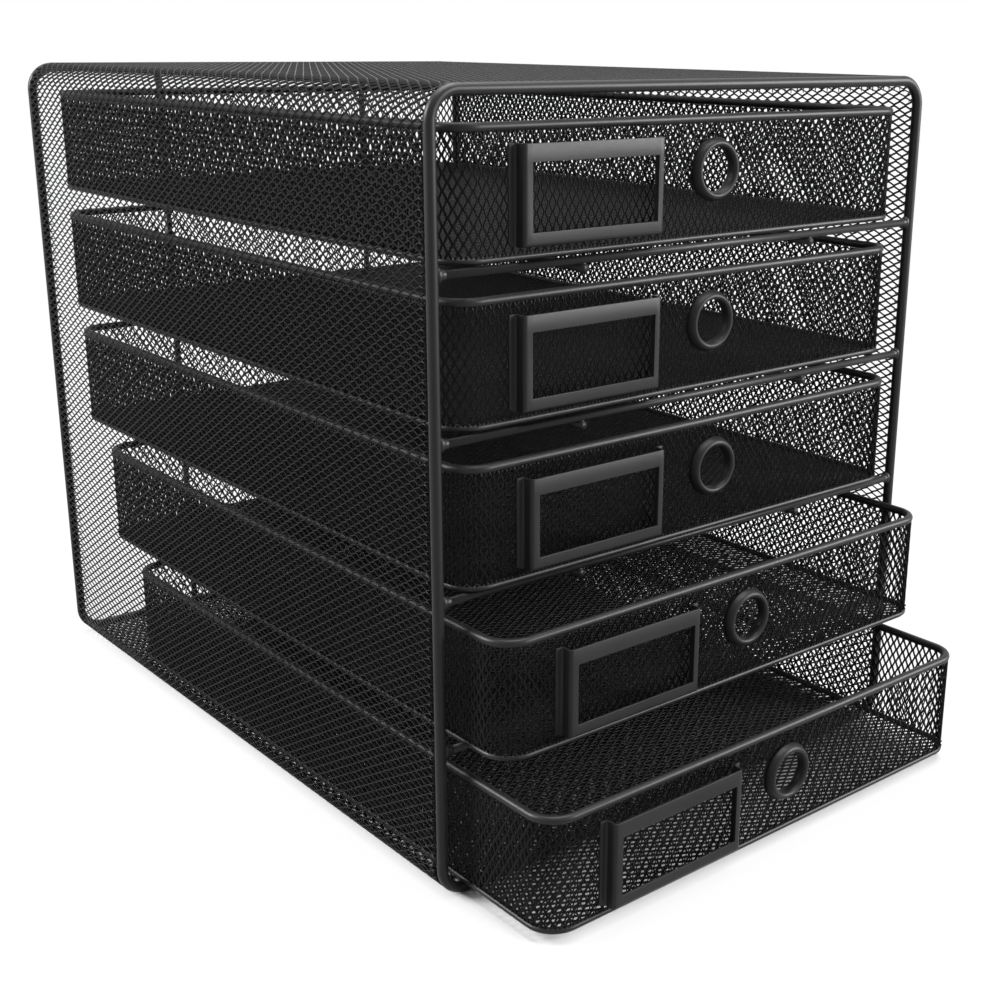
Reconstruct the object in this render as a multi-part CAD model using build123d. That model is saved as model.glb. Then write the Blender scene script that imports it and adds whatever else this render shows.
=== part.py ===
from build123d import *
import os

# A free-standing desk cabinet of expanded steel mesh with five pull-out mesh trays.
# Millimetres, +Z up. The origin is the middle of the cabinet's footprint on the desk,
# the tray fronts face -Y and +X is to the right as one stands before them.

# Cabinet, over its wires
cabinet_width = 243.0
cabinet_depth = 320.0
cabinet_height = 280.0
hoop_wire = 4.0
hoop_corner_radius = 12.0

# Mesh sheet. Its gaps are drawn larger and fewer than the real ones, with the same open share.
sheet_thickness = 0.9
strand_share = 0.2
mesh_border = 3.0
sleeve_length = 314.0

# Tiers of trays
tray_count = 5
tier_pitch = 54.8
sliding_gap = 0.3
cross_wire = 3.0
runner_wire = 3.0
upright_wire = 3.0
runner_spacing = 115.0
weld_sink = 0.1

# Trays
tray_width = 224.0
tray_length = 314.0
tray_height = 44.4
tray_corner_radius = 12.0
tray_front_setback = 1.6
rim_wire = 3.2
base_wire = 2.4
wall_inset = 0.3
pulled_out = [0.0, 0.0, 4.0, 25.0, 49.0]
plain_wall_tier = 4  # this tray's wall strip is a plain sheet with no gaps but the ring's

# Label holder, a pressed pocket with a window, open only at the top, on two narrow feet
label_width = 61.8
label_height = 32.9
label_left_x = -87.0
label_bottom = 4.8
label_stand_off = 5.4
label_sheet = 0.8
label_bend_radius = 1.4
label_foot = 2.7
window_left_border = 3.6
window_right_border = 3.0
window_top_border = 5.9
window_bottom_border = 4.6

# Finger ring, a round grommet through the tray's front
ring_centre_x = 4.2
ring_centre_z = 25.1
ring_outer_radius = 11.4
ring_inner_radius = 8.0
ring_proud = 3.0
ring_barrel_wall = 0.9
ring_back_flange = 1.0
ring_back_radius = 10.4

# Worked out from the above
half_width = cabinet_width / 2
half_depth = cabinet_depth / 2
hoop_x = half_width - hoop_wire / 2
hoop_y = half_depth - hoop_wire / 2
first_tray_base = hoop_wire + sliding_gap
tray_front_y = -half_depth + tray_front_setback
ring_hole_radius = ring_inner_radius + ring_barrel_wall

os.makedirs("parts", exist_ok=True)


def save(shape, name):
    export_step(shape, "parts/" + name + ".step")


def rounded_outline(width, length, radius):
    return RectangleRounded(width, length, radius).face().outer_wire()


def rounded_ring(width, length, radius, wire):
    """Closed wire ring lying flat, its width and length measured over the wire."""
    path = rounded_outline(width - wire, length - wire, radius - wire / 2)
    section = Plane((width / 2 - wire / 2, 0, 0), x_dir=(1, 0, 0), z_dir=(0, 1, 0))
    return sweep(section * Circle(wire / 2), path=path)


def rod(start, end, diameter):
    axis = Vector(end) - Vector(start)
    return Plane(start, z_dir=axis) * Cylinder(
        diameter / 2, axis.length, align=(Align.CENTER, Align.CENTER, Align.MIN)
    )


def diamond(x, y, half_x, half_y):
    corners = [(x - half_x, y), (x, y - half_y), (x + half_x, y), (x, y + half_y)]
    return Wire.make_polygon(corners, close=True)


def mesh_gaps(width, height, columns, rows, keep_clear):
    """Diamond gaps of an expanded sheet: two staggered grids, left out where keep_clear says."""
    cell_x = (width - 2 * mesh_border) / columns
    cell_y = (height - 2 * mesh_border) / rows
    half_x = cell_x / 2 * (1 - strand_share)
    half_y = cell_y / 2 * (1 - strand_share)
    gaps = []
    for shift in (0, 1):
        for i in range(columns - shift):
            for j in range(rows - shift):
                x = (i + 0.5 + shift / 2) * cell_x + mesh_border - width / 2
                y = (j + 0.5 + shift / 2) * cell_y + mesh_border - height / 2
                if not keep_clear(x, y):
                    gaps.append(diamond(x, y, half_x, half_y))
    return gaps


def mesh_plate(width, height, columns, rows, keep_clear=lambda x, y: False, holes=()):
    """Flat mesh sheet lying on XY about the origin, its thickness upwards."""
    outline = Wire.make_rect(width, height)
    face = Face(outline, mesh_gaps(width, height, columns, rows, keep_clear) + list(holes))
    return extrude(face, amount=sheet_thickness, dir=(0, 0, 1))


def corner_sheet(radius, height):
    """Quarter-round bend of sheet about the Z axis, from +X to +Y."""
    outer = Cylinder(radius, height, arc_size=90, align=(Align.NONE, Align.NONE, Align.MIN))
    inner = Cylinder(radius - sheet_thickness, height, align=(Align.CENTER, Align.CENTER, Align.MIN))
    return outer - inner


def upright_plate(plate, outer_face_y):
    """Stands a flat sheet up across the front, its width along X and its height along Z."""
    return Pos(0, outer_face_y, 0) * Rot(90, 0, 0) * Pos(0, 0, -sheet_thickness) * plate


def make_hoop(y):
    flat = rounded_ring(cabinet_width, cabinet_height, hoop_corner_radius, hoop_wire)
    return Pos(0, y, cabinet_height / 2) * Rot(90, 0, 0) * flat


def make_sleeve(hoops):
    """Mesh wrapped round both hoops: left, top, right and bottom, with rounded corners."""
    straight_x = cabinet_width - 2 * hoop_corner_radius
    straight_z = cabinet_height - 2 * hoop_corner_radius
    middle = cabinet_height / 2
    side = mesh_plate(sleeve_length, straight_z, 7, 6)
    cover = mesh_plate(straight_x, sleeve_length, 6, 7)
    bend = Rot(90, 0, 0) * corner_sheet(hoop_corner_radius, sleeve_length)
    pieces = []
    for turn, sheet, reach, corner_x, corner_z in (
        (0, cover, middle, straight_x / 2, straight_z / 2),
        (180, cover, middle, straight_x / 2, straight_z / 2),
        (90, side, half_width, straight_z / 2, straight_x / 2),
        (270, side, half_width, straight_z / 2, straight_x / 2),
    ):
        lying = sheet if sheet is cover else Rot(0, 0, 90) * sheet
        flat = Pos(0, 0, reach - sheet_thickness) * lying
        corner = Pos(corner_x, sleeve_length / 2, corner_z) * bend
        pieces.append(Rot(0, turn, 0) * (flat + corner))
    wrapped = Pos(0, 0, middle) * (pieces[0] + pieces[1] + pieces[2] + pieces[3])
    for hoop in hoops:
        wrapped = wrapped - hoop
    return wrapped


def tier_base(tier):
    """Underside of a tray, counted from 1 at the top."""
    return first_tray_base + (tray_count - tier) * tier_pitch


def make_cross_wire(tier, front_hoop):
    z = tier_base(tier) - sliding_gap - cross_wire / 2
    wire = rod((-hoop_x, -hoop_y, z), (hoop_x, -hoop_y, z), cross_wire)
    return wire - front_hoop


def make_upright(side, rear_hoop):
    x = side * runner_spacing / 2
    bar = rod((x, hoop_y, hoop_wire / 2), (x, hoop_y, cabinet_height - hoop_wire / 2), upright_wire)
    return bar - rear_hoop


def make_runners(tier, cross, uprights):
    """Two straight wires that carry the tray, under the cross wire and up to the rear bars."""
    wire_z = tier_base(tier) - sliding_gap - cross_wire / 2
    front_z = wire_z - (cross_wire + runner_wire) / 2 + weld_sink
    rear_z = tier_base(tier) - sliding_gap - runner_wire / 2
    pair = []
    for side, upright in zip((-1, 1), uprights):
        x = side * runner_spacing / 2
        runner = rod((x, -hoop_y - cross_wire / 2, front_z), (x, hoop_y, rear_z), runner_wire)
        pair.append((runner - cross - upright).solids().sort_by(SortBy.VOLUME)[-1])
    return pair


def make_rim_wire():
    ring = rounded_ring(tray_width, tray_length, tray_corner_radius, rim_wire)
    return Pos(0, tray_length / 2, tray_height - rim_wire / 2) * ring


def make_base_wire():
    ring = rounded_ring(tray_width, tray_length, tray_corner_radius, base_wire)
    return Pos(0, tray_length / 2, base_wire / 2) * ring


def make_wall(rim, base, with_gaps=True):
    """Upright mesh strip all round the tray, between the base wire and the rim wire."""
    low = base_wire / 2
    high = tray_height - rim_wire / 2
    height = high - low
    radius = tray_corner_radius - wall_inset
    straight_x = tray_width - 2 * tray_corner_radius
    straight_y = tray_length - 2 * tray_corner_radius
    reach_x = tray_width / 2 - wall_inset
    middle_z = (low + high) / 2
    ring_z = ring_centre_z - middle_z
    hole = Pos(ring_centre_x, ring_z, 0) * Wire.make_circle(ring_hole_radius)

    def kept_whole(x, y):
        return not with_gaps

    def near_ring(x, y):
        return kept_whole(x, y) or abs(x - ring_centre_x) < ring_outer_radius + 5

    front = mesh_plate(straight_x, height, 10, 2, near_ring, [hole])
    rear = mesh_plate(straight_x, height, 10, 2, kept_whole)
    side = mesh_plate(straight_y, height, 14, 2, kept_whole)
    middle_y = tray_length / 2
    panels = [Pos(0, 0, middle_z) * upright_plate(front, wall_inset)]
    panels.append(Pos(0, tray_length, middle_z) * Rot(0, 0, 180) * upright_plate(rear, wall_inset))
    for turn in (90, -90):
        panels.append(Pos(0, middle_y, middle_z) * Rot(0, 0, turn) * upright_plate(side, -reach_x))
    corner = corner_sheet(radius, height)
    for turn, x, y in ((0, 1, 1), (90, -1, 1), (180, -1, -1), (270, 1, -1)):
        place = Pos(x * straight_x / 2, middle_y + y * straight_y / 2, low)
        panels.append(place * Rot(0, 0, turn) * corner)
    strip = panels[0].fuse(*panels[1:])
    return strip - rim - base


def make_floor(base):
    """Flat mesh panel inside the base wire."""
    width = tray_width - base_wire
    length = tray_length - base_wire
    sheet = mesh_plate(width, length, 8, 9)
    outline = RectangleRounded(width, length, tray_corner_radius - base_wire / 2)
    blank = sheet & extrude(outline, amount=2 * sheet_thickness)
    low = (base_wire - sheet_thickness) / 2
    return Pos(0, tray_length / 2, low) * blank - base


def pressed_block(width, reach, height, radius):
    """Block from the origin to +X, -Y and +Z, its front edges rounded save the top one."""
    block = Box(width, reach, height, align=(Align.MIN, Align.MAX, Align.MIN))
    front_edges = block.faces().sort_by(Axis.Y)[0].edges()
    return fillet(front_edges.sort_by(Axis.Z)[:-1], radius)


def make_label_holder():
    """Front plate that turns back to the mesh below and on both sides, with a foot on each side."""
    sheet = label_sheet
    outer = pressed_block(label_width, label_stand_off, label_height, label_bend_radius)
    inner = pressed_block(
        label_width - 2 * sheet, label_stand_off - sheet, label_height, label_bend_radius - sheet
    )
    pocket = outer - Pos(sheet, 0, sheet) * inner
    window_width = label_width - window_left_border - window_right_border
    window_height = label_height - window_top_border - window_bottom_border
    window = Box(window_width, 2 * sheet, window_height, align=(Align.MIN, Align.CENTER, Align.MIN))
    holder = pocket - Pos(window_left_border, sheet / 2 - label_stand_off, window_bottom_border) * window
    foot_height = label_height - label_bend_radius
    foot = Box(label_foot + sheet, sheet, foot_height, align=(Align.MIN, Align.MAX, Align.MIN))
    for x in (-label_foot, label_width - sheet):
        holder = holder + Pos(x, 0, label_bend_radius) * foot
    return Pos(label_left_x, wall_inset, label_bottom) * holder


def make_finger_ring():
    """Round grommet: a half-round lip in front, a barrel through the mesh, a flange behind."""
    lip = (ring_outer_radius - ring_inner_radius) / 2
    behind = wall_inset + sheet_thickness
    points = [
        (ring_inner_radius, behind + ring_back_flange),
        (ring_back_radius, behind + ring_back_flange),
        (ring_back_radius, behind),
        (ring_hole_radius, behind),
        (ring_hole_radius, wall_inset),
        (ring_outer_radius, wall_inset),
        (ring_outer_radius, wall_inset - ring_proud + lip),
    ]
    crown = (ring_inner_radius + lip, wall_inset - ring_proud)
    inner_shoulder = (ring_inner_radius, wall_inset - ring_proud + lip)
    edge = Polyline(*points) + ThreePointArc(points[-1], crown, inner_shoulder)
    edge += Line(inner_shoulder, points[0])
    ring = revolve(make_face(edge), axis=Axis.Y)
    return Pos(ring_centre_x, 0, ring_centre_z) * ring


front_hoop = make_hoop(-hoop_y)
rear_hoop = make_hoop(hoop_y)
save(front_hoop, "front_hoop")
save(rear_hoop, "rear_hoop")
save(make_sleeve((front_hoop, rear_hoop)), "mesh_sleeve")

uprights = [make_upright(side, rear_hoop) for side in (-1, 1)]
for name, upright in zip(("rear_upright_left", "rear_upright_right"), uprights):
    save(upright, name)
for tier in range(1, tray_count):
    cross = make_cross_wire(tier, front_hoop)
    save(cross, "cross_wire_" + str(tier))
    left, right = make_runners(tier, cross, uprights)
    save(left, "runner_" + str(tier) + "_left")
    save(right, "runner_" + str(tier) + "_right")

rim = make_rim_wire()
base = make_base_wire()
tray_pieces = {
    "rim_wire": rim,
    "base_wire": base,
    "wall_mesh": make_wall(rim, base),
    "floor_mesh": make_floor(base),
    "label_holder": make_label_holder(),
    "finger_ring": make_finger_ring(),
}
plain_wall = make_wall(rim, base, with_gaps=False)
for tier in range(1, tray_count + 1):
    place = Pos(0, tray_front_y - pulled_out[tier - 1], tier_base(tier))
    for name, piece in tray_pieces.items():
        if name == "wall_mesh" and tier == plain_wall_tier:
            piece = plain_wall
        save(place * piece, "drawer_" + str(tier) + "_" + name)
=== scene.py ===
import math
import bmesh
import bpy
from mathutils import Matrix, Vector


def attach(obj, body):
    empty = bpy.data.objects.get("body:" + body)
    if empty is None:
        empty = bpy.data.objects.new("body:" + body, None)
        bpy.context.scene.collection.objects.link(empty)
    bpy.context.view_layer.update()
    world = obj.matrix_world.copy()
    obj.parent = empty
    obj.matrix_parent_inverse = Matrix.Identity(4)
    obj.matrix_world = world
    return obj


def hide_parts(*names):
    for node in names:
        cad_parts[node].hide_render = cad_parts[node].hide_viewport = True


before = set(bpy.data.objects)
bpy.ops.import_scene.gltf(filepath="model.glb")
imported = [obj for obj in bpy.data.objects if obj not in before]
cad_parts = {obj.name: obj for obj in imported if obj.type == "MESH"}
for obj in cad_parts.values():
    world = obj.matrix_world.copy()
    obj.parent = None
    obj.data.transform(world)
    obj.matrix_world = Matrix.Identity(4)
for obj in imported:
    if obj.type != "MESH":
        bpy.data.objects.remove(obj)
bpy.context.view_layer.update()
print("frame loaded:", len(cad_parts), "CAD nodes")

mm = 0.001
quarter = math.pi / 2
hair = 1e-6  # tolerance of comparisons between positions

cabinet = {
    "width": 243 * mm,
    "depth": 320 * mm,
    "height": 280 * mm,
    "corner": 12 * mm,
    "hoopWire": 4 * mm,
}
tray = {
    "width": 224 * mm,
    "length": 314 * mm,
    "height": 44.4 * mm,
    "corner": 12 * mm,
    "rimWire": 3.2 * mm,
    "baseWire": 2.4 * mm,
    "wallInset": 0.3 * mm,
    "frontY": -158.4 * mm,
    "pitch": 54.8 * mm,
    "lowestBase": 4.3 * mm,
    "pulledOut": [0.0, 0.0, 4 * mm, 25 * mm, 49 * mm],  # as photographed, top tray first
}
lowestTier = len(tray["pulledOut"])  # tiers count from 1 at the top


def shift(x, y, z):
    return Matrix.Translation((x, y, z))


def turn(angle, axis):
    return Matrix.Rotation(angle, 4, axis)


def scaled(x, y, z):
    return Matrix.Diagonal((x, y, z, 1))


def aimed(direction, axis):
    # turn that points the given own axis along a direction
    return direction.to_track_quat(axis, "Y").to_matrix().to_4x4()


def vertsOf(geom):
    return [g for g in geom if isinstance(g, bmesh.types.BMVert)]


def edgesOf(geom):
    return [g for g in geom if isinstance(g, bmesh.types.BMEdge)]


def makePiece(name, mesh, body, material, replaced):
    piece = bpy.data.objects.new(name, mesh)
    bpy.context.scene.collection.objects.link(piece)
    mesh.materials.clear()
    mesh.materials.append(material)
    mesh.shade_smooth()
    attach(piece, body)
    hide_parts(replaced)
    return piece


def toMesh(bm, name):
    mesh = bpy.data.meshes.new(name)
    bm.to_mesh(mesh)
    bm.free()
    return mesh


def placedCopy(mesh, matrix, name):
    copied = mesh.copy()
    copied.name = name
    copied.transform(matrix)
    return copied


coating = {
    "patchScale": 45,  # slow change of coat thickness
    "patchDetail": 4,
    "peelDetail": 3,
    "peelRange": (0.3, 0.7),
    "peelDepth": 0.1 * mm,
}
wireFinish = {
    "shade": (0.006, 0.006, 0.0063),
    "worn": (0.01, 0.0097, 0.0098),
    "roughness": (0.34, 0.46),
    "grain": 2600,  # orange-peel grains per metre
    "bump": 0.12,
    "shine": 0.18,
}
# same black coat as on the wires, given a darker shade and less shine: painted shade that darkens the open
# mesh and the inside seen through it
meshFinishPaintedShade = {
    "shade": (0.004, 0.004, 0.0042),
    "worn": wireFinish["shade"],
    "roughness": (0.2, 0.32),
    "grain": 3400,
    "bump": 0.06,
    "shine": 0.08,
}
sheetFinish = {
    "shade": wireFinish["shade"],
    "worn": wireFinish["worn"],
    "roughness": (0.36, 0.48),
    "grain": 1900,
    "bump": 0.16,
    "shine": 0.17,
}


def powderCoat(name, finish):
    material = bpy.data.materials.new(name)
    material.use_nodes = True
    nodes = material.node_tree.nodes
    links = material.node_tree.links
    shader = nodes["Principled BSDF"]
    place = nodes.new("ShaderNodeTexCoord")
    patches = nodes.new("ShaderNodeTexNoise")
    patches.inputs["Scale"].default_value = coating["patchScale"]
    patches.inputs["Detail"].default_value = coating["patchDetail"]
    peel = nodes.new("ShaderNodeTexNoise")  # fine texture of the baked powder
    peel.inputs["Scale"].default_value = finish["grain"]
    peel.inputs["Detail"].default_value = coating["peelDetail"]
    tone = nodes.new("ShaderNodeMix")
    tone.data_type = "RGBA"
    tone.inputs["A"].default_value = (*finish["shade"], 1)
    tone.inputs["B"].default_value = (*finish["worn"], 1)
    polish = nodes.new("ShaderNodeMapRange")
    polish.inputs["From Min"].default_value = coating["peelRange"][0]
    polish.inputs["From Max"].default_value = coating["peelRange"][1]
    polish.inputs["To Min"].default_value = finish["roughness"][0]
    polish.inputs["To Max"].default_value = finish["roughness"][1]
    relief = nodes.new("ShaderNodeBump")
    relief.inputs["Strength"].default_value = finish["bump"]
    relief.inputs["Distance"].default_value = coating["peelDepth"]
    links.new(place.outputs["Object"], patches.inputs["Vector"])
    links.new(place.outputs["Object"], peel.inputs["Vector"])
    links.new(patches.outputs["Fac"], tone.inputs["Factor"])
    links.new(tone.outputs["Result"], shader.inputs["Base Color"])
    links.new(peel.outputs["Fac"], polish.inputs["Value"])
    links.new(polish.outputs["Result"], shader.inputs["Roughness"])
    links.new(peel.outputs["Fac"], relief.inputs["Height"])
    links.new(relief.outputs["Normal"], shader.inputs["Normal"])
    shader.inputs["Specular IOR Level"].default_value = finish["shine"]
    return material


wireCoat = powderCoat("blackWireCoat", wireFinish)
# painted shade: the mesh coat is a darker, duller copy of the wire coat
meshCoatPaintedShade = powderCoat("blackMeshCoatPaintedShade", meshFinishPaintedShade)
sheetCoat = powderCoat("blackSheetCoat", sheetFinish)
print("finishes made")

strand = {
    "wide": 0.8 * mm,
    "thick": 0.42 * mm,
    "tilt": math.radians(35),
    "bond": 0.2 * mm,  # how far two strands lie side by side where they join
}


def expandedSheet(length, width, segments, rows, turnedOver=False):
    # flat sheet from the origin to +X and +Y: each row is one strand that swings from bond to bond
    step = length / segments
    rise = width / rows
    swing = rise / 2 - strand["bond"]
    tilt = -strand["tilt"] if turnedOver else strand["tilt"]
    bm = bmesh.new()
    bar = turn(tilt, "X") @ scaled(1, strand["wide"], strand["thick"]) @ turn(quarter, "Y")
    bmesh.ops.create_grid(bm, x_segments=1, y_segments=1, size=0.5, matrix=shift(0, rise / 2, 0) @ bar)
    outline = bm.edges[:]
    drawn = bmesh.ops.spin(
        bm, geom=outline, cent=(0, 0, 0), axis=(0, 0, 1), dvec=(step, 0, 0), angle=0, steps=segments
    )
    bmesh.ops.contextual_create(bm, geom=edgesOf(drawn["geom_last"]))
    bmesh.ops.recalc_face_normals(bm, faces=bm.faces[:])
    for vert in bm.verts:
        vert.co.y += swing if round(vert.co.x / step) % 2 else -swing
    if rows > 1:
        twin = bmesh.ops.duplicate(bm, geom=bm.verts[:] + bm.edges[:] + bm.faces[:])
        for vert in vertsOf(twin["geom"]):
            vert.co.y += rise - 2 * (swing if round(vert.co.x / step) % 2 else -swing)
    if rows > 2:
        bmesh.ops.spin(
            bm,
            geom=bm.verts[:] + bm.edges[:] + bm.faces[:],
            cent=(0, 0, 0),
            axis=(0, 0, 1),
            dvec=(0, 2 * rise, 0),
            angle=0,
            steps=rows // 2 - 1,
            use_duplicate=True,
        )
    return bm


def roundTheCorners(distance, halfA, halfB, corner):
    # point and outward normal on a rounded rectangle, anticlockwise from the low end of its +A side
    sides = [2 * (halfB - corner), 2 * (halfA - corner)] * 2
    arc = quarter * corner
    centres = [(1, 1), (-1, 1), (-1, -1), (1, -1)]
    total = 2 * (sides[0] + sides[1]) + 4 * arc
    left = distance % total
    for k in range(4):
        heading = k * quarter
        cosine, sine = math.cos(heading), math.sin(heading)
        centreA = centres[k][0] * (halfA - corner)
        centreB = centres[k][1] * (halfB - corner)
        if left <= sides[k]:
            back = sides[k] - left
            return (
                centreA + corner * cosine + back * sine,
                centreB + corner * sine - back * cosine,
                cosine,
                sine,
            )
        left -= sides[k]
        if left <= arc:
            angle = heading + left / corner
            return (
                centreA + corner * math.cos(angle),
                centreB + corner * math.sin(angle),
                math.cos(angle),
                math.sin(angle),
            )
        left -= arc
    return (halfA, corner - halfB, 1.0, 0.0)


def wireLoop(width, length, corner, wire, sides, bends=10):
    # closed ring of round wire lying flat about the origin, measured over the wire
    radius = wire / 2
    straights = [length - 2 * corner, width - 2 * corner]
    bm = bmesh.new()
    start = shift(width / 2 - radius, corner - length / 2, 0) @ turn(quarter, "X")
    bmesh.ops.create_circle(bm, segments=sides, radius=radius, matrix=start)
    edges = bm.edges[:]
    centres = [(1, 1), (-1, 1), (-1, -1), (1, -1)]
    for k in range(4):
        heading = turn(k * quarter, "Z").to_3x3()
        drawn = bmesh.ops.extrude_edge_only(bm, edges=edges)["geom"]
        bmesh.ops.translate(bm, verts=vertsOf(drawn), vec=heading @ Vector((0, straights[k % 2], 0)))
        centre = (centres[k][0] * (width / 2 - corner), centres[k][1] * (length / 2 - corner), 0)
        bent = bmesh.ops.spin(
            bm, geom=edgesOf(drawn), cent=centre, axis=(0, 0, 1), dvec=(0, 0, 0), angle=quarter, steps=bends
        )
        edges = edgesOf(bent["geom_last"])
    bmesh.ops.remove_doubles(bm, verts=bm.verts[:], dist=0.01 * mm)
    bmesh.ops.recalc_face_normals(bm, faces=bm.faces[:])
    return bm


def addRod(bm, start, end, wire, sides=16):
    along = Vector(end) - Vector(start)
    middle = (Vector(start) + Vector(end)) / 2
    place = Matrix.Translation(middle) @ aimed(along, "Z")
    bmesh.ops.create_cone(
        bm,
        cap_ends=True,
        segments=sides,
        radius1=wire / 2,
        radius2=wire / 2,
        depth=along.length,
        matrix=place,
    )


def addWeld(bm, centre, size):
    # small bead of weld metal, smoothed over by the coat
    bmesh.ops.create_icosphere(bm, subdivisions=2, radius=1, matrix=shift(*centre) @ scaled(*size))


hoop = {
    "lineX": (cabinet["width"] - cabinet["hoopWire"]) / 2,  # the wire's centre line
    "lineY": (cabinet["depth"] - cabinet["hoopWire"]) / 2,
    "sides": 20,
    "bends": 12,
}


def makeHoop(name, y):
    width, height, corner = cabinet["width"], cabinet["height"], cabinet["corner"]
    bm = wireLoop(width, height, corner, cabinet["hoopWire"], hoop["sides"], hoop["bends"])
    upright = shift(0, y, height / 2) @ turn(quarter, "X")
    bmesh.ops.transform(bm, matrix=upright, verts=bm.verts[:])
    makePiece(name + "Bent", toMesh(bm, name), "cabinet", wireCoat, name)


makeHoop("front_hoop", -hoop["lineY"])
makeHoop("rear_hoop", hoop["lineY"])
print("hoops bent")

sleeve = {
    "length": 314 * mm,
    "midInset": 0.45 * mm,
    "segments": 108,
    "rows": 150,
}


def makeSleevePanels():
    halfX = cabinet["width"] / 2 - sleeve["midInset"]
    halfZ = cabinet["height"] / 2 - sleeve["midInset"]
    corner = cabinet["corner"] - sleeve["midInset"]
    sideLength = 2 * (halfZ - corner)
    coverLength = 2 * (halfX - corner) + 2 * quarter * corner
    panels = [
        ("meshRight", 0, sideLength),
        ("meshTop", sideLength, coverLength),
        ("meshLeft", sideLength + coverLength, sideLength),
        ("meshUnder", 2 * sideLength + coverLength, coverLength),
    ]
    for name, begin, width in panels:
        bm = expandedSheet(sleeve["length"], width, sleeve["segments"], sleeve["rows"], True)
        for vert in bm.verts:
            x, z, outX, outZ = roundTheCorners(begin + vert.co.y, halfX, halfZ, corner)
            lift = vert.co.z
            y = vert.co.x - sleeve["length"] / 2
            vert.co = (x + lift * outX, y, cabinet["height"] / 2 + z + lift * outZ)
        makePiece(name, toMesh(bm, name), "cabinet", meshCoatPaintedShade, "mesh_sleeve")


teeth = {
    "pitch": 3.4 * mm,
    "length": 1.7 * mm,
    "wide": 0.5 * mm,
    "sides": 4,
    "behind": 1.3 * mm,  # behind the hoop's centre line
    "lowest": 8 * mm,  # none below this, where the lowest tray slides over the wire
}


def makeTeeth(name, y):
    # cut strand ends of the sheet that show inside a hoop
    halfX = cabinet["width"] / 2 - cabinet["hoopWire"]
    halfZ = cabinet["height"] / 2 - cabinet["hoopWire"]
    corner = cabinet["corner"] - cabinet["hoopWire"]
    around = 4 * (halfX - corner) + 4 * (halfZ - corner) + 4 * quarter * corner
    count = round(around / teeth["pitch"])
    bm = bmesh.new()
    for k in range(count):
        x, z, outX, outZ = roundTheCorners(around * k / count, halfX, halfZ, corner)
        z += cabinet["height"] / 2
        if z < teeth["lowest"]:
            continue
        place = shift(x, y, z) @ aimed(Vector((-outX, 0, -outZ)), "Z")
        bmesh.ops.create_cone(
            bm,
            cap_ends=True,
            segments=teeth["sides"],
            radius1=teeth["wide"],
            radius2=teeth["wide"] / 3,
            depth=2 * teeth["length"],
            matrix=place,
        )
    makePiece(name, toMesh(bm, name), "cabinet", meshCoatPaintedShade, "mesh_sleeve")


makeSleevePanels()
makeTeeth("teethFront", teeth["behind"] - hoop["lineY"])
makeTeeth("teethRear", hoop["lineY"] - teeth["behind"])
print("sleeve wrapped")

innerWires = {
    "wire": 3 * mm,
    "spacing": 115 * mm,  # between the uprights, and between the runners of a tier
    "gap": 0.3 * mm,  # up to the tray that slides on them
    "uprightEnd": 2.6 * mm,
    "crossEnd": 1 * mm,
    "runnerDrop": 2.9 * mm,  # the runner's front end passes under the cross wire
    "runnerShift": 1.4 * mm,
}
welds = {  # place along the wire, then half sizes
    "upright": (4.2 * mm, (2.1 * mm, 1.8 * mm, 1.2 * mm)),
    "cross": [
        (2.2 * mm, (1.8 * mm, 1.9 * mm, 2.7 * mm)),
        (3.6 * mm, (2.6 * mm, 1.7 * mm, 1.9 * mm)),
    ],
    "runnerFront": (0.4 * mm, (1.5 * mm, 1.6 * mm, 1.1 * mm)),
    "runnerRear": (1.6 * mm, (1.5 * mm, 1.0 * mm, 1.4 * mm)),
}


def trayBase(tier):
    return tray["lowestBase"] + (lowestTier - tier) * tray["pitch"]


def makeBar(name, bm):
    makePiece(name + "_bar", toMesh(bm, name), "cabinet", wireCoat, name)


def makeUpright(side, word):
    x = side * innerWires["spacing"] / 2
    y = hoop["lineY"]
    top = cabinet["height"]
    bm = bmesh.new()
    addRod(bm, (x, y, innerWires["uprightEnd"]), (x, y, top - innerWires["uprightEnd"]), innerWires["wire"])
    along, size = welds["upright"]
    for z in (along, top - along):
        addWeld(bm, (x, y, z), size)
    makeBar("rear_upright_" + word, bm)


def makeCrossWire(tier, z):
    y = -hoop["lineY"]
    end = hoop["lineX"] - innerWires["crossEnd"]
    bm = bmesh.new()
    addRod(bm, (-end, y, z), (end, y, z), innerWires["wire"])
    for side in (-1, 1):
        for along, size in welds["cross"]:
            addWeld(bm, (side * (hoop["lineX"] - along), y, z), size)
    makeBar("cross_wire_%d" % tier, bm)


def makeRunner(tier, z, side, word):
    x = side * innerWires["spacing"] / 2
    y = hoop["lineY"]
    low = z - innerWires["runnerDrop"]
    back = innerWires["runnerShift"]
    bm = bmesh.new()
    addRod(bm, (x, -y - back, low), (x, y - back, z), innerWires["wire"])
    along, size = welds["runnerFront"]
    addWeld(bm, (x, along - y, low + back), size)
    along, size = welds["runnerRear"]
    addWeld(bm, (x, y - along, z), size)
    makeBar("runner_%d_%s" % (tier, word), bm)


def makeInnerWires():
    bothSides = ((-1, "left"), (1, "right"))
    for side, word in bothSides:
        makeUpright(side, word)
    for tier in range(1, lowestTier):  # the lowest tray slides on the hoops instead
        z = trayBase(tier) - innerWires["gap"] - innerWires["wire"] / 2
        makeCrossWire(tier, z)
        for side, word in bothSides:
            makeRunner(tier, z, side, word)


makeInnerWires()
print("inner wires welded")

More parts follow.
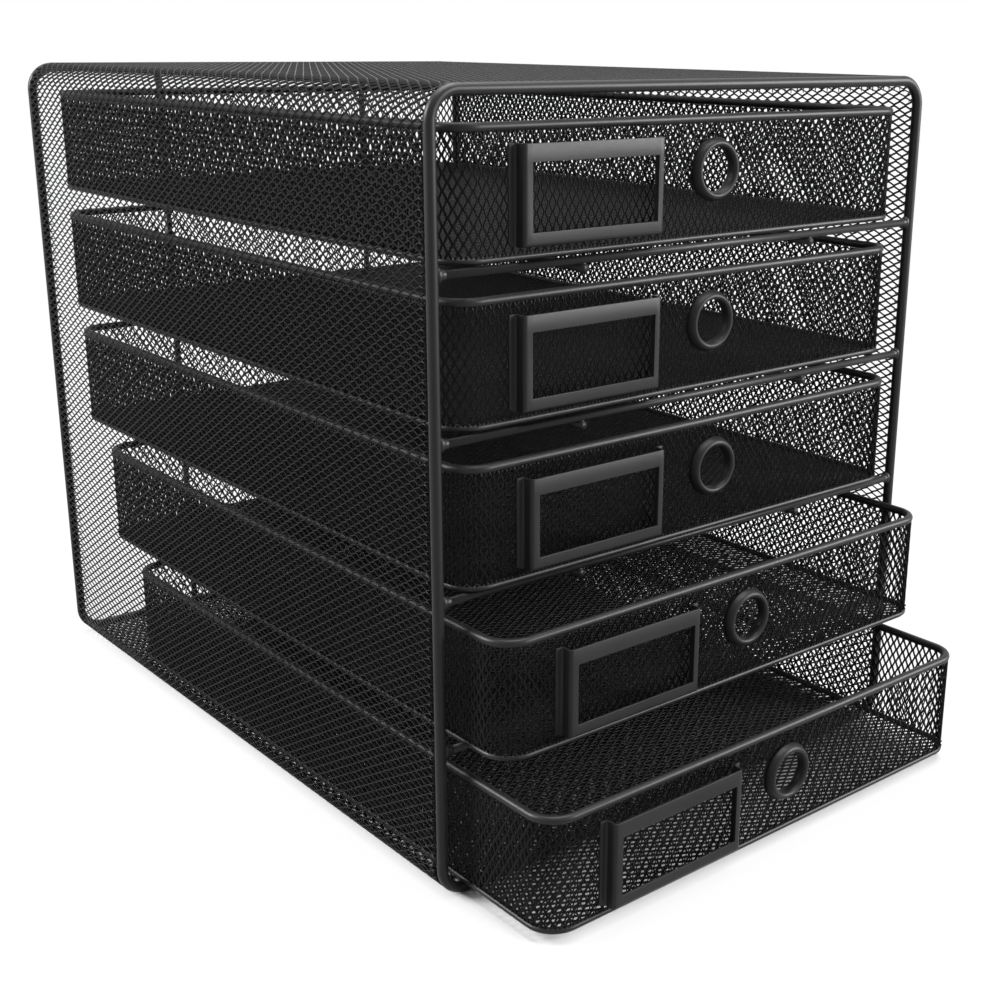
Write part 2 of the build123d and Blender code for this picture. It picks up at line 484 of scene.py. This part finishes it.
labelHolder = {
    "left": -87 * mm,
    "bottom": 4.8 * mm,
    "width": 61.8 * mm,
    "height": 32.9 * mm,
    "standOff": 5.4 * mm,
    "sheet": 0.8 * mm,
    "bend": 1.4 * mm,
    "bendSteps": 6,
    "foot": 2.7 * mm,
    "footRise": 1.2 * mm,  # how far the foot's outer low corner is cut back
    "footBend": 0.9 * mm,
    "footBendSteps": 4,
    "softEdge": 0.18 * mm,
    "softAngle": math.radians(50),
    "windowBorders": (3.6 * mm, 3 * mm, 5.9 * mm, 4.6 * mm),  # left, right, top, bottom
}


def cutWindow(bm, faces, low, high):
    # splits upright faces along the four edges of a window and takes out what lies inside
    flat = set(faces)
    for axis, value in ((0, low[0]), (0, high[0]), (2, low[1]), (2, high[1])):
        point = [0, 0, 0]
        normal = [0, 0, 0]
        point[axis] = value
        normal[axis] = 1
        around = set(e for f in flat for e in f.edges) | set(v for f in flat for v in f.verts)
        result = bmesh.ops.bisect_plane(
            bm, geom=list(flat) + list(around), dist=hair / 10, plane_co=point, plane_no=normal
        )
        flat = set(g for g in result["geom"] if isinstance(g, bmesh.types.BMFace))
    inside = []
    for face in flat:
        middle = face.calc_center_median()
        if low[0] < middle.x < high[0] and low[1] < middle.z < high[1]:
            inside.append(face)
    bmesh.ops.delete(bm, geom=inside, context="FACES")


def bend(bm, edges, offset, steps):
    bmesh.ops.bevel(
        bm,
        geom=edges,
        offset=offset,
        offset_type="OFFSET",
        segments=steps,
        profile=0.5,
        affect="EDGES",
        material=-1,
    )


def addFoot(bm, side, x):
    # narrow strip out from the rear edge of an upright side, flat on the mesh
    spec = labelHolder
    rear = []
    for edge in bm.edges:
        a, b = edge.verts[0].co, edge.verts[1].co
        upright = abs(a.x - x) + abs(b.x - x) < hair and min(a.y, b.y) > -spec["sheet"] - hair
        if edge.is_boundary and upright:
            rear.append(edge)
    drawn = bmesh.ops.extrude_edge_only(bm, edges=rear)["geom"]
    bmesh.ops.translate(bm, verts=vertsOf(drawn), vec=(side * spec["foot"], 0, 0))
    low = min(vertsOf(drawn), key=lambda vert: vert.co.z)
    low.co.z += spec["footRise"]
    bend(bm, rear, spec["footBend"], spec["footBendSteps"])


def labelHolderMesh():
    # pocket with three sides bent back to the mesh and a foot along each upright side
    spec = labelHolder
    width, height, sheet = spec["width"], spec["height"], spec["sheet"]
    reach = spec["standOff"] - sheet
    bm = bmesh.new()
    place = shift(width / 2, -sheet - reach / 2, height / 2) @ scaled(width, reach, height)
    bmesh.ops.create_cube(bm, size=1, matrix=place)
    folds = []
    for edge in bm.edges:
        a, b = edge.verts[0].co, edge.verts[1].co
        inFront = max(a.y, b.y) < -reach
        if inFront and min(a.z, b.z) < hair:  # all but the top edge
            folds.append(edge)
    bend(bm, folds, spec["bend"], spec["bendSteps"])
    bm.normal_update()
    openSides = [f for f in bm.faces if f.normal.z > 0.99 or f.normal.y > 0.99]
    bmesh.ops.delete(bm, geom=openSides, context="FACES")
    left, right, top, bottom = spec["windowBorders"]
    plate = [f for f in bm.faces if f.normal.y < -0.99]
    cutWindow(bm, plate, (left, bottom), (width - right, height - top))
    addFoot(bm, -1, 0)
    addFoot(bm, 1, width)
    bmesh.ops.recalc_face_normals(bm, faces=bm.faces[:])
    if sum(f.normal.y * f.calc_area() for f in bm.faces) > 0:
        bmesh.ops.reverse_faces(bm, faces=bm.faces[:])
    return toMesh(bm, "labelHolder")


def thickenSheet(piece):
    wall = piece.modifiers.new("sheet", "SOLIDIFY")
    wall.thickness = labelHolder["sheet"]
    wall.offset = -1
    wall.use_even_offset = True
    edge = piece.modifiers.new("soft edge", "BEVEL")
    edge.width = labelHolder["softEdge"]
    edge.segments = 2
    edge.limit_method = "ANGLE"
    edge.angle_limit = labelHolder["softAngle"]


fingerRing = {
    "x": 4.2 * mm,
    "z": 25.1 * mm,
    "steps": 56,
    "cutRadius": 9.7 * mm,
    # distance from the axis and from the mesh's outer plane, in mm, along the pressed profile
    "profile": [
        (8.0, 0.6), (8.0, -0.9), (8.15, -1.75), (8.6, -2.4), (9.2, -2.68), (9.85, -2.5), (10.4, -1.9),
        (10.85, -1.1), (11.2, -0.3), (11.4, 0.28), (11.15, 0.42), (9.2, 0.5), (9.0, 0.9), (9.2, 1.35),
        (10.3, 1.4), (10.4, 1.75), (10.1, 2.1), (9.0, 2.18), (8.25, 1.7),
    ],
}


def fingerRingMesh():
    bm = bmesh.new()
    points = [bm.verts.new((radius * mm, y * mm, 0)) for radius, y in fingerRing["profile"]]
    outline = [bm.edges.new((a, b)) for a, b in zip(points, points[1:] + points[:1])]
    bmesh.ops.spin(
        bm,
        geom=outline,
        cent=(0, 0, 0),
        axis=(0, 1, 0),
        dvec=(0, 0, 0),
        angle=2 * math.pi,
        steps=fingerRing["steps"],
        use_merge=True,
    )
    bmesh.ops.remove_doubles(bm, verts=bm.verts[:], dist=0.001 * mm)
    bmesh.ops.recalc_face_normals(bm, faces=bm.faces[:])
    bmesh.ops.translate(bm, verts=bm.verts[:], vec=(fingerRing["x"], 0, fingerRing["z"]))
    return toMesh(bm, "fingerRing")


trayMesh = {
    "midInset": 0.75 * mm,
    "wallSegments": 15,
    "wallRows": 620,
    "floorSegments": 80,
    "floorRows": 184,
    "endHeight": 2.9 * mm,
    "endSize": 0.5 * mm,
    "frontZone": 3 * mm,  # only faces this close to the front are cut for the ring
    "rimSides": 16,
    "baseSides": 12,
}


def addStrandEnds(bm, around, halfX, halfY, corner):
    # strand ends, pressed flat on the real tray, made as small round beads just above the base wire, on the
    # outside
    size = trayMesh["endSize"]
    rows = trayMesh["wallRows"]
    for k in range(0, rows, 2):
        x, y, outX, outY = roundTheCorners(around * (k + 0.5) / rows, halfX, halfY, corner)
        centre = (x + size * outX, tray["length"] / 2 + y + size * outY, trayMesh["endHeight"])
        bmesh.ops.create_icosphere(bm, subdivisions=1, radius=size, matrix=shift(*centre))


def wallMesh():
    low = tray["baseWire"] / 2
    high = tray["height"] - tray["rimWire"] / 2
    halfX = tray["width"] / 2 - trayMesh["midInset"]
    halfY = tray["length"] / 2 - trayMesh["midInset"]
    corner = tray["corner"] - trayMesh["midInset"]
    around = 4 * (halfX - corner) + 4 * (halfY - corner) + 4 * quarter * corner
    bm = expandedSheet(high - low, around, trayMesh["wallSegments"], trayMesh["wallRows"], True)
    for vert in bm.verts:
        x, y, outX, outY = roundTheCorners(vert.co.y, halfX, halfY, corner)
        lift = vert.co.z
        vert.co = (x + lift * outX, tray["length"] / 2 + y + lift * outY, low + vert.co.x)
    hole = []
    for face in bm.faces:
        middle = face.calc_center_median()
        away = math.hypot(middle.x - fingerRing["x"], middle.z - fingerRing["z"])
        if middle.y < trayMesh["frontZone"] and away < fingerRing["cutRadius"]:
            hole.append(face)
    bmesh.ops.delete(bm, geom=hole, context="FACES")
    cutEnds = [e for e in bm.edges if e.is_boundary]
    bmesh.ops.holes_fill(bm, edges=cutEnds, sides=4)
    addStrandEnds(bm, around, halfX, halfY, corner)
    return toMesh(bm, "wallMesh")


def floorMesh():
    width = tray["width"] - tray["baseWire"]
    length = tray["length"] - tray["baseWire"]
    corner = tray["corner"] - tray["baseWire"] / 2
    bm = expandedSheet(width, length, trayMesh["floorSegments"], trayMesh["floorRows"])
    for vert in bm.verts:
        x = vert.co.x - width / 2
        y = vert.co.y - length / 2
        beyondX = abs(x) - (width / 2 - corner)
        beyondY = abs(y) - (length / 2 - corner)
        if beyondX > 0 and beyondY > 0:
            excess = math.hypot(beyondX, beyondY) / corner
            if excess > 1:  # pulled in to the wire at the tray's corners
                x = math.copysign(width / 2 - corner + beyondX / excess, x)
                y = math.copysign(length / 2 - corner + beyondY / excess, y)
        vert.co = (x, y + tray["length"] / 2, tray["baseWire"] / 2 + vert.co.z)
    return toMesh(bm, "floorMesh")


def trayWire(name, wire, z, sides):
    bm = wireLoop(tray["width"], tray["length"], tray["corner"], wire, sides)
    bmesh.ops.translate(bm, verts=bm.verts[:], vec=(0, tray["length"] / 2, z))
    return toMesh(bm, name)


def makeTrays():
    rim, base = tray["rimWire"], tray["baseWire"]
    rimMesh = trayWire("rimWire", rim, tray["height"] - rim / 2, trayMesh["rimSides"])
    baseMesh = trayWire("baseWire", base, base / 2, trayMesh["baseSides"])
    parts = [
        ("wall_mesh", wallMesh(), meshCoatPaintedShade, "mesh"),
        ("floor_mesh", floorMesh(), meshCoatPaintedShade, "mesh"),
        ("rim_wire", rimMesh, wireCoat, "wire"),
        ("base_wire", baseMesh, wireCoat, "wire"),
    ]
    holder = labelHolderMesh()
    holder.transform(shift(labelHolder["left"], tray["wallInset"], labelHolder["bottom"]))
    parts.append(("label_holder", holder, sheetCoat, "fittings"))
    parts.append(("finger_ring", fingerRingMesh(), sheetCoat, "fittings"))
    for tier in range(1, lowestTier + 1):
        place = shift(0, tray["frontY"] - tray["pulledOut"][tier - 1], trayBase(tier))
        body = "drawer_%d" % tier
        for word, mesh, material, slotName in parts:
            node = "%s_%s" % (body, word)
            placed = placedCopy(mesh, place, node)
            piece = makePiece(node + "_made", placed, body, material, node)
            if word == "label_holder":
                thickenSheet(piece)
        print("tray", tier, "made")


makeTrays()

studio = {
    "floorHalf": 15,
    "floorShade": (0.5, 0.5, 0.5, 1),
    "floorRoughness": 0.9,
    "floorGlow": 0.9,
    "fade": (0.35, 1.3),  # from here to here the floor fades into the backdrop
    "shadedMiddle": (0, -23.5 * mm, 0),
    "shadedHalf": (118 * mm, 183 * mm, 0),
    "shadedEdge": (-6 * mm, 2 * mm),
    "white": (1, 1, 1, 1),
    "worldGlow": 0.12,
    "target": (0, 0, 0.13),
    "lamps": [  # name, place, width and height, power
        ("overheadBox", (0.15, 0.0, 1.6), (1.5, 1.2), 60),
        ("rightBox", (1.15, -1.25, 0.62), (1.1, 0.8), 62),
        ("leftBox", (-1.5, 0.9, 1.1), (0.8, 1.0), 95),
    ],
}


def mathOf(nodes, links, operation, first, second):
    node = nodes.new("ShaderNodeMath")
    node.operation = operation
    links.new(first, node.inputs[0])
    links.new(second, node.inputs[1])
    return node


def vectorOf(nodes, links, operation, source, constant=None):
    node = nodes.new("ShaderNodeVectorMath")
    node.operation = operation
    links.new(source, node.inputs[0])
    if constant:
        node.inputs[1].default_value = constant
    return node


def mappedFrom(nodes, links, source, fromRange, toRange):
    node = nodes.new("ShaderNodeMapRange")
    node.inputs["From Min"].default_value, node.inputs["From Max"].default_value = fromRange
    node.inputs["To Min"].default_value, node.inputs["To Max"].default_value = toRange
    links.new(source, node.inputs["Value"])
    return node.outputs["Result"]


def mixedShader(nodes, links, share, first, second):
    node = nodes.new("ShaderNodeMixShader")
    links.new(share, node.inputs["Fac"])
    links.new(first, node.inputs[1])
    links.new(second, node.inputs[2])
    return node.outputs["Shader"]


def seenAsBackground(nodes, links):
    # 1 for what the camera, a reflection or a glass sees, 0 for light that falls on things
    path = nodes.new("ShaderNodeLightPath").outputs
    seen = mathOf(nodes, links, "ADD", path["Is Camera Ray"], path["Is Glossy Ray"])
    seen.use_clamp = True
    withGlass = mathOf(nodes, links, "ADD", seen.outputs["Value"], path["Is Transmission Ray"])
    withGlass.use_clamp = True
    return withGlass.outputs["Value"]


def glowOfFloor(nodes, links):
    # none under the cabinet and its lowest tray, where only the light that gets there shows
    place = nodes.new("ShaderNodeTexCoord").outputs["Object"]
    away = vectorOf(nodes, links, "LENGTH", place).outputs["Value"]
    far = mappedFrom(nodes, links, away, studio["fade"], (studio["floorGlow"], 1))
    offset = vectorOf(nodes, links, "SUBTRACT", place, studio["shadedMiddle"]).outputs["Vector"]
    spread = vectorOf(nodes, links, "ABSOLUTE", offset).outputs["Vector"]
    beyond = vectorOf(nodes, links, "SUBTRACT", spread, studio["shadedHalf"]).outputs["Vector"]
    apart = nodes.new("ShaderNodeSeparateXYZ")
    links.new(beyond, apart.inputs["Vector"])
    widest = mathOf(nodes, links, "MAXIMUM", apart.outputs["X"], apart.outputs["Y"]).outputs["Value"]
    outside = mappedFrom(nodes, links, widest, studio["shadedEdge"], (0, 1))
    return mathOf(nodes, links, "MULTIPLY", outside, far).outputs["Value"]


def paleFloor():
    paper = bpy.data.materials.new("paleFloor")
    paper.use_nodes = True
    nodes = paper.node_tree.nodes
    links = paper.node_tree.links
    shader = nodes["Principled BSDF"]
    shader.inputs["Base Color"].default_value = studio["floorShade"]
    shader.inputs["Roughness"].default_value = studio["floorRoughness"]
    glow = nodes.new("ShaderNodeEmission")
    glow.inputs["Color"].default_value = studio["white"]
    seen = seenAsBackground(nodes, links)
    share = mathOf(nodes, links, "MULTIPLY", seen, glowOfFloor(nodes, links)).outputs["Value"]
    lit = mixedShader(nodes, links, share, shader.outputs["BSDF"], glow.outputs["Emission"])
    below = nodes.new("ShaderNodeNewGeometry").outputs["Backfacing"]
    clear = nodes.new("ShaderNodeBsdfTransparent")  # from below the floor doesn't hide the object
    oneSided = mixedShader(nodes, links, below, lit, clear.outputs["BSDF"])
    links.new(oneSided, nodes["Material Output"].inputs["Surface"])
    return paper


def makeFloor():
    bm = bmesh.new()
    bmesh.ops.create_grid(bm, x_segments=1, y_segments=1, size=studio["floorHalf"])
    floor = toMesh(bm, "studioFloor")
    floor.materials.append(paleFloor())
    ground = bpy.data.objects.new("studioFloor", floor)
    bpy.context.scene.collection.objects.link(ground)


def makeWorld():
    world = bpy.data.worlds.new("paleRoom")
    bpy.context.scene.world = world
    world.use_nodes = True
    nodes = world.node_tree.nodes
    links = world.node_tree.links
    room = nodes["Background"]
    room.inputs["Color"].default_value = studio["white"]
    room.inputs["Strength"].default_value = studio["worldGlow"]
    behind = nodes.new("ShaderNodeBackground")
    behind.inputs["Color"].default_value = studio["white"]
    behind.inputs["Strength"].default_value = 1
    seen = seenAsBackground(nodes, links)
    blend = mixedShader(nodes, links, seen, room.outputs["Background"], behind.outputs["Background"])
    links.new(blend, nodes["World Output"].inputs["Surface"])


def makeLamps():
    for name, where, size, power in studio["lamps"]:
        lamp = bpy.data.lights.new(name, "AREA")
        lamp.shape = "RECTANGLE"
        lamp.size, lamp.size_y = size
        lamp.energy = power
        holder = bpy.data.objects.new(name, lamp)
        bpy.context.scene.collection.objects.link(holder)
        aim = Vector(studio["target"]) - Vector(where)
        holder.matrix_world = Matrix.Translation(where) @ aimed(aim, "-Z")


viewpoint = {
    "place": (-0.380917, -0.532571, 0.293443),
    "yaw": 40.459,
    "pitch": 16.909,
    "roll": 0.56,
    "lens": 52.75,
    "sensor": 36,
    "shift": (-0.0717, -0.0175),
}


def makeCamera():
    camera = bpy.data.objects.new("camera", bpy.data.cameras.new("camera"))
    bpy.context.scene.collection.objects.link(camera)
    yaw = turn(math.radians(-viewpoint["yaw"]), "Z")
    pitch = turn(math.radians(90 - viewpoint["pitch"]), "X")
    roll = turn(math.radians(viewpoint["roll"]), "Z")
    camera.matrix_world = Matrix.Translation(viewpoint["place"]) @ yaw @ pitch @ roll
    camera.data.lens = viewpoint["lens"]
    camera.data.sensor_width = viewpoint["sensor"]
    camera.data.shift_x, camera.data.shift_y = viewpoint["shift"]
    bpy.context.scene.camera = camera


makeFloor()
makeWorld()
makeLamps()
makeCamera()
bpy.context.scene.view_settings.view_transform = "Standard"
print("studio lit and camera placed")
